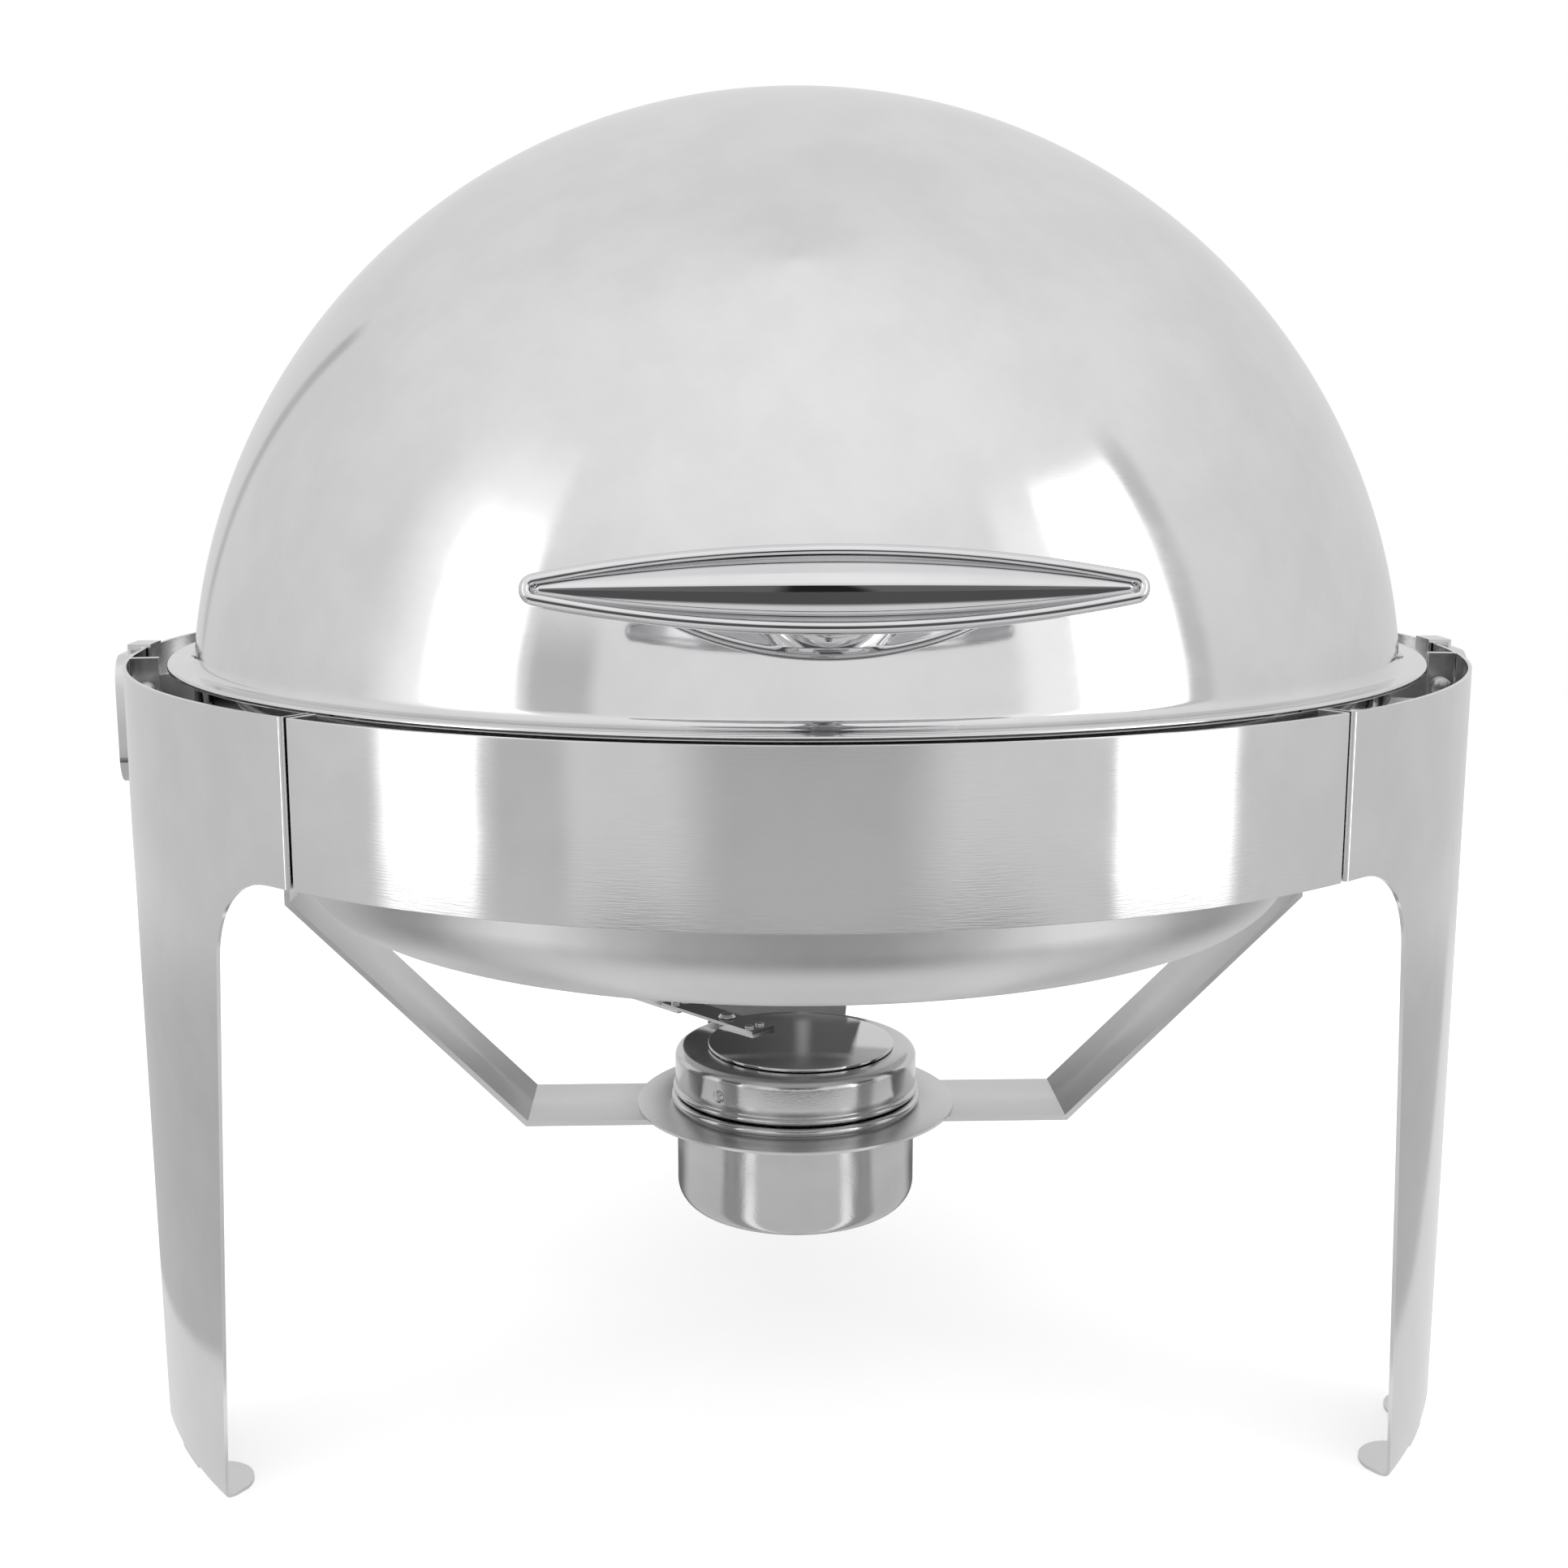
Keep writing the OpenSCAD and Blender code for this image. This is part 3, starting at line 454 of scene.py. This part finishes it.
def lathe(name, outline, material, body, stands_for=(), segments=192, at=(0, 0), up=0.0, sharp=38):
    """Turns a closed outline (radius, height) about the vertical."""
    points, faces, count = [], [], len(outline)
    for k in range(segments):
        a = 2 * pi * k / segments
        points += [(at[0] + r * sin(a), at[1] - r * cos(a), z + up) for r, z in outline]
    for k in range(segments):
        for n in range(count):
            m, k2 = (n + 1) % count, (k + 1) % segments
            corners = [k * count + n, k2 * count + n, k2 * count + m, k * count + m]
            if outline[n][0] < 1e-9 and outline[m][0] < 1e-9:
                continue
            faces.append(corners)
    piece = build(name, points, faces, material, body, stands_for, sharp)
    outward(piece)
    return piece


def outward(piece):
    form = bmesh.new()
    form.from_mesh(piece.data)
    bmesh.ops.recalc_face_normals(form, faces=form.faces)
    form.to_mesh(piece.data)
    form.free()


def bevel(piece, width, segments=2, angle=50):
    made = piece.modifiers.new("bevel", "BEVEL")
    made.width = width / 1000
    made.segments = segments
    made.limit_method = "ANGLE"
    made.angle_limit = radians(angle)
    made.harden_normals = True
    return made


def shell(outer, thickness):
    """Closes an open outline of (radius, height) into a shell of even thickness, its far side on the left."""
    back = []
    for k, (x, y) in enumerate(outer):
        a = Vector(outer[max(k - 1, 0)])
        b = Vector(outer[min(k + 1, len(outer) - 1)])
        along = (b - a).normalized()
        back.append((x - along.y * thickness, y + along.x * thickness))
    return outer + back[::-1]


# ---------------------------------------------------------------- frame panels

BAND_R, BAND_LOW, BAND_HIGH, SHEET = 235.0, 206.0, 255.0, 1.2
BEND, FLANGE_R, LUG_BEND, LUG_R = 1.5, 224.5, 2.2, 11.5
BEND_Y = sqrt((BAND_R - BEND) ** 2 - BEND ** 2)
BEND_TURN = 0.3681


def turned(x, y, a):
    c, s = cos(radians(a)), sin(radians(a))
    return (x * c - y * s, x * s + y * c)


def at_azimuth(r, a):
    return (r * sin(radians(a)), -r * cos(radians(a)))


def panel_end(half):
    bend = arc(-BEND, -BEND_Y, BEND, -90 - BEND_TURN, 0, 8)
    return [turned(px, py, half) for px, py in bend + [(0, -(BEND_Y + FLANGE_R) / 2), (0, -FLANGE_R)]]


def panel_path(half, azimuths):
    right = panel_end(half)
    return [(-px, py) for px, py in right[::-1]] + [at_azimuth(BAND_R, a) for a in azimuths] + right


def grid_faces(rows):
    return [[rows[i + 1][j], rows[i + 1][j + 1], rows[i][j + 1], rows[i][j]]
            for i in range(len(rows) - 1) for j in range(len(rows[i]) - 1)]


def sheet_panel(name, turn, points, faces, node):
    spun = [(*turned(x, y, turn), z) for x, y, z in points]
    piece = build(name, spun, faces, band_steel, "frame", [node], sharp=None)
    plate = piece.modifiers.new("plate", "SOLIDIFY")
    plate.thickness = SHEET / 1000
    plate.offset = -1
    plate.use_even_offset = True
    bevel(piece, 0.22)
    return piece


def skirt(name, turn, node):
    half = 39.2
    inner = half - BEND_TURN
    azimuths = [inner * (k / 43) for k in range(-42, 43)]
    path = panel_path(half, azimuths)
    points, rows = [], []
    for z in (BAND_HIGH, 238, 222, BAND_LOW):
        rows.append(list(range(len(points), len(points) + len(path))))
        points += [(x, y, z) for x, y in path]
    return sheet_panel(name, turn, points, grid_faces(rows), node)


def leg(name, turn, node):
    half, foot_w, top_w, fillet = 20.45, 31.5, 44.8, 29.0
    slope = atan2(top_w - foot_w, BAND_LOW - fillet)
    fillet_x, fillet_z = top_w + fillet / cos(slope), BAND_LOW - fillet
    lug_out = asin_deg(foot_w / BAND_R)
    lug_in = lug_out - 2 * asin_deg(LUG_R / BAND_R)
    split = BAND_R * sin(radians(lug_in)) / foot_w
    side = [split + (1 - split) * k / 12 for k in range(13)]
    shares = [-t for t in side[::-1]] + [split * k / 4 for k in range(-3, 4)] + side
    points, rows = [], []

    def row(spots):
        first = len(points)
        points.extend(spots)
        return list(range(first, len(points)))

    top_cols = [asin_deg(t * fillet_x / BAND_R) for t in shares]
    inner = half - BEND_TURN
    between = (top_cols[-1] + inner) / 2
    azimuths = [-between] + top_cols + [between]
    path = panel_path(half, azimuths)
    band_rows = [row([(x, y, z) for x, y in path]) for z in (BAND_HIGH, 238, 222, BAND_LOW)]
    faces = grid_faces(band_rows)
    lead = (len(path) - len(shares)) // 2
    rows = [band_rows[-1][lead:lead + len(shares)]]
    low_x, low_z = fillet_x - fillet * cos(slope), fillet_z + fillet * sin(slope)
    edge = [(fillet_x - fillet * cos(a), fillet_z + fillet * sin(a))
            for a in [pi / 2 + (slope - pi / 2) * k / 14 for k in range(1, 15)]]
    steps = 22
    edge += [(low_x + (foot_w - low_x) * k / steps, low_z + (LUG_BEND - low_z) * k / steps)
             for k in range(1, steps + 1)]
    for w, z in edge:
        rows.append(row([(*at_azimuth(BAND_R, asin_deg(t * w / BAND_R)), z) for t in shares]))
    faces += grid_faces(rows)
    last = rows[-1]
    middle = last[12:12 + 9]
    drop = row([(points[k][0], points[k][1], 0.6) for k in middle])
    faces += grid_faces([middle, drop])
    for mark in (-1, 1):
        picked = last[:13] if mark < 0 else last[-13:]
        columns = [asin_deg(t * foot_w / BAND_R) for t in (shares[:13] if mark < 0 else shares[-13:])]
        centre = mark * (lug_in + lug_out) / 2
        lug_rows = [picked]
        for k in range(1, 8):
            a = radians(90 * k / 7)
            r, z = BAND_R - LUG_BEND + LUG_BEND * cos(a), LUG_BEND - LUG_BEND * sin(a)
            lug_rows.append(row([(*at_azimuth(r, c), z) for c in columns]))
        for k in range(1, 9):
            spots = []
            for c in columns:
                bx, by = turned(*at_azimuth(BAND_R - LUG_BEND, c), -centre)
                across = min(abs(bx) / LUG_R, 1.0)
                depth = LUG_R * sqrt(1 - across ** 2)
                end_y = -(BAND_R - LUG_BEND) + depth
                y = by + (max(end_y, by) - by) * sin(pi / 2 * k / 8)
                spots.append((*turned(bx, y, centre), 0.0))
            lug_rows.append(row(spots))
        faces += grid_faces(lug_rows)
    return sheet_panel(name, turn, points, faces, node)


def asin_deg(v):
    return atan2(v, sqrt(max(0.0, 1 - v * v))) * 180 / pi


# ---------------------------------------------------------------- cover, handle, pans and burner

def dome():
    r, t, fillet, rim_h, rim_r, lip = 213.0, 0.9, 4.0, 20.5, 221.0, 1.9
    fz = rim_h + fillet
    fx = sqrt((r + fillet) ** 2 - fz ** 2)
    low = atan2(fz, fx) * 180 / pi
    outline = arc(0, 0, r, 90, low, 110) + arc(fx, fz, fillet, 180 + low, 270, 10)[1:]
    outline += arc(rim_r - 1.0, rim_h - 1.0, 1.0, 90, 0, 6)
    outline += arc(rim_r - 0.45, rim_h - lip + 0.45, 0.45, 0, -180, 6)
    outline += [(rim_r - t, rim_h - t - 0.1), (rim_r - t - 0.3, rim_h - t)]
    outline += arc(fx, fz, fillet + t, 270, 180 + low, 10) + arc(0, 0, r - t, low, 90, 110)
    return lathe("dome_shell", outline, dome_steel, "lid", ["dome_cover"], 288, up=HINGE_Z,
                 sharp=60)


def leaf(length, height, tip_h, inset, steps=40, tip_steps=12):
    run, rise = (length - tip_h) / 2, (height - tip_h) / 2
    arc_r = (run * run + rise * rise) / (2 * rise)
    turn = asin_deg(run / arc_r)
    tip_r = tip_h / 2 / cos(radians(turn))
    tip_x = run - tip_r * sin(radians(turn))
    arc_y = height / 2 - arc_r
    big, tip = arc_r - inset, tip_r - inset
    return (arc(0, arc_y, big, 90 + turn, 90 - turn, steps)[:-1]
            + arc(tip_x, 0, tip, 90 - turn, turn - 90, tip_steps)[:-1]
            + arc(0, -arc_y, big, turn - 90, -90 - turn, steps)[:-1]
            + arc(-tip_x, 0, tip, 270 - turn, 90 + turn, tip_steps)[:-1])


TILT = radians(14)


def on_dome(x, y, z):
    return (x, y * cos(TILT) + z * sin(TILT), HINGE_Z - y * sin(TILT) + z * cos(TILT))


def loft(name, loops, material, body, stands_for=(), sharp=45, cap=True):
    points, faces, count = [], [], len(loops[0])
    for loop in loops:
        points += loop
    for k in range(len(loops) - 1):
        for n in range(count):
            m = (n + 1) % count
            faces.append([k * count + n, k * count + m, (k + 1) * count + m, (k + 1) * count + n])
    if cap:
        faces += [list(range(count)), list(range((len(loops) - 1) * count, len(loops) * count))]
    piece = build(name, points, faces, material, body, stands_for, sharp)
    outward(piece)
    return piece


def handle():
    reach, length, height, tip_h = 247.0, 157.0, 22.5, 8.0
    section = [(3.7, -2.9), (2.6, -3.3), (1.4, -3.4), (0.6, -3.0), (0.15, -2.2), (0.0, -1.0), (0.0, 0.4),
               (0.12, 1.5), (0.5, 2.5), (1.1, 3.2), (1.8, 3.5), (2.4, 3.3), (2.85, 2.7),
               (3.1, 1.9), (3.3, 1.2), (3.6, 0.9)]
    loops = [[on_dome(x, -reach - d, z) for x, z in leaf(length, height, tip_h, q)] for q, d in section]
    rim = loft("handle_rim", loops, chrome, "lid", ["handle_bar"], sharp=60)
    run, r, tip_r, centre = 74.0, 8.0, 2.1, 247.95
    span = run - tip_r
    arc_r = (span ** 2 + (r - tip_r) ** 2) / (2 * (r - tip_r))
    turn = asin_deg(span / arc_r)
    outline = ([(-span - tip_r * cos(radians(a)), tip_r * sin(radians(a))) for a in (2, 15, 30, 45, 60, 75)]
               + [(arc_r * sin(radians(a)), r - arc_r + arc_r * cos(radians(a)))
                  for a in [-turn + 2 * turn * k / 56 for k in range(57)]]
               + [(span + tip_r * cos(radians(a)), tip_r * sin(radians(a))) for a in (75, 60, 45, 30, 15, 2)])
    # the section is a lens: two faces of radius face_r meet in a slightly rounded ridge along the front
    face_r, ridge_r, drop, back = 12.9, 1.5, 4.2, -4.75
    meet = asin_deg(drop / (face_r - ridge_r))
    nose = back + (face_r - ridge_r) * cos(radians(meet))
    upper = [(back + face_r * cos(radians(a)), face_r * sin(radians(a)) - drop)
             for a in [71 - (71 - meet) * k / 16 for k in range(17)]]
    ridge = [(nose + ridge_r * cos(radians(a)), ridge_r * sin(radians(a)))
             for a in [meet * k / 4 for k in (3, 2, 1)]]
    front = upper + ridge + [(nose + ridge_r, 0)]
    front += [(d, -z) for d, z in front[-2::-1]]
    rear = [(-0.55 - 4.5 * sin(pi * k / 16), -8 * cos(pi * k / 16)) for k in range(1, 16)]
    section = front + rear
    loops = [[on_dome(x, -centre - d * rr / r, z * rr / r) for d, z in section] for x, rr in outline]
    body = loft("handle_spindle", loops, chrome, "lid", (), sharp=60)
    return rim, body


def stem():
    r, neck_r, waist_r, end_r, top = 213.0, 7.4, 6.6, 9.6, 243.6
    loops = []

    def on_sphere(x, z, h):
        return on_dome(x, -(sqrt(r * r - x * x - z * z) + h), z)

    for q, h in [(0, -0.5), (0, 1.5), (0.12, 2.3), (0.5, 3.1), (1.1, 3.7), (1.9, 4.0)]:
        loops.append([on_sphere(x, z, h) for x, z in leaf(91, 27, 7, q)])
    base = leaf(91, 27, 7, 1.9)
    for k in range(1, 25):
        u = k / 24
        ring = []
        for x, z in base:
            d = sqrt(x * x + z * z)
            cx, cz = x / d * neck_r, z / d * neck_r
            w = u ** 0.85
            px, pz = x + (cx - x) * w, z + (cz - z) * w
            far = max(0.0, sqrt(px * px + pz * pz) - neck_r)
            lift = 4.0 - 0.5 * sin(pi * min(1.0, u * 1.3)) + 8.5 * (1 - min(1.0, far / 11)) ** 2
            ring.append(on_sphere(px, pz, lift))
        loops.append(ring)
    for k in range(1, 15):
        t = k / 14
        rr = neck_r + (waist_r - neck_r) * min(1, t / 0.45) if t < 0.45 else waist_r + (end_r - waist_r) * (
            (t - 0.45) / 0.55) ** 2
        ring = []
        for x, z in base:
            d = sqrt(x * x + z * z)
            ring.append(on_sphere(x / d * rr, z / d * rr, 12.5 + (top - r - 12.5) * t))
        loops.append(ring)
    return loft("handle_foot", loops, chrome, "lid", ["handle_stem"], sharp=60)


def pans():
    def outer_path(r, bottom, corner, rim_z, bend, rim_out, bead):
        return ([(0, bottom), (r * 0.3, bottom), (r * 0.6, bottom)]
                + arc(r - corner, bottom + corner, corner, -90, 0, 18)
                + [(r, (bottom + rim_z) / 2)] + arc(r + bend, rim_z - bend, bend, 180, 90, 6)
                + [(rim_out - bead * 1.6, rim_z)] + arc(rim_out - bead, rim_z - bead, bead, 90, -60, 8))

    low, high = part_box("water_pan")
    water = shell(outer_path(180, low[2] * 1000, 20, 244.4, 3.0, 198.8, 1.1), 0.8)
    lathe("pan_water", water, pan_steel, "water_pan", ["water_pan"], 224, sharp=50)
    low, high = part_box("food_pan")
    bottom, rim = low[2] * 1000, high[2] * 1000
    food = shell(outer_path(171, bottom, 16, rim - 0.85, 2.5, 192.8, 0.8), 0.8)
    lathe("pan_food", food, pan_steel, "food_pan", ["food_pan"], 224, sharp=50)


def burner():
    cup = ([(0, 41), (20, 41)] + arc(36, 50, 9, -90, 0, 12) + [(45, 66), (45, 81.4)]
           + arc(45.6, 83.1, 1.6, -110, 130, 14))
    lathe("burner_can", shell(cup, 0.8), burner_steel, "burner_cup", ["burner_cup"], 160,
          sharp=50)
    collar = ([(33.4, 102.0), (36, 102.0)] + arc(42.2, 98.5, 3.5, 90, 0, 12) + [(45.7, 92), (45.68, 89.2)]
              + [(45.45, 88.7), (45.55, 88.25)] + arc(45.4, 87.0, 1.15, 70, -60, 8) + [(45.1, 85.2)])
    lathe("burner_sleeve", shell(collar, -0.8), burner_steel, "burner_collar", ["burner_collar"],
          160, sharp=50)
    ring = rounded([(45.6, 80.0, .25), (60, 80.0, .25), (60, 81.2, .25), (45.6, 81.2, .25)], 3)
    lathe("burner_plate", ring, bracket_steel, "frame", ["burner_ring"], 160, sharp=30)
    lid = rounded([(0, 102.3, 0), (35.2, 102.3, .35), (35.2, 103.5, .35), (0, 103.5, 0)], 3)
    lathe("snuffer_lid", lid, burner_polish, "snuffer", ["snuffer_disc"], 160, at=(2, 0),
          sharp=30)
    hoop = rounded([(187.5, 222, .3), (189.5, 222, .3), (189.5, 243.9, .3), (187.5, 243.9, .3)], 3)
    lathe("pan_hoop", hoop, bracket_steel, "frame", ["support_ring"], 224, sharp=30)


skirt("skirt_front", 0, "front_skirt")
skirt("skirt_left", -120, "rear_left_skirt")
skirt("skirt_right", 120, "rear_right_skirt")
leg("leg_left", -60, "left_leg")
leg("leg_right", 60, "right_leg")
leg("leg_rear", 180, "rear_leg")
dome()
handle()
stem()
pans()
burner()

CUT_STRIPS = ("burner_arm_left", "burner_arm_right", "snuffer_arm", "snuffer_grip", "pan_bracket_left",
              "pan_bracket_right", "hinge_bracket_left", "hinge_bracket_right", "hinge_cover_left",
              "hinge_cover_right")
for name, thing in nodes.items():
    if thing.hide_render:
        continue
    for face in thing.data.polygons:
        face.use_smooth = True
    join = thing.modifiers.new("join", "WELD")
    join.merge_threshold = 0.00001
    if name in CUT_STRIPS:
        thing.modifiers.new("creases", "EDGE_SPLIT").split_angle = radians(30)
    else:
        bevel(thing, 0.25 if max(thing.dimensions) > 0.02 else 0.12, 2, 35)
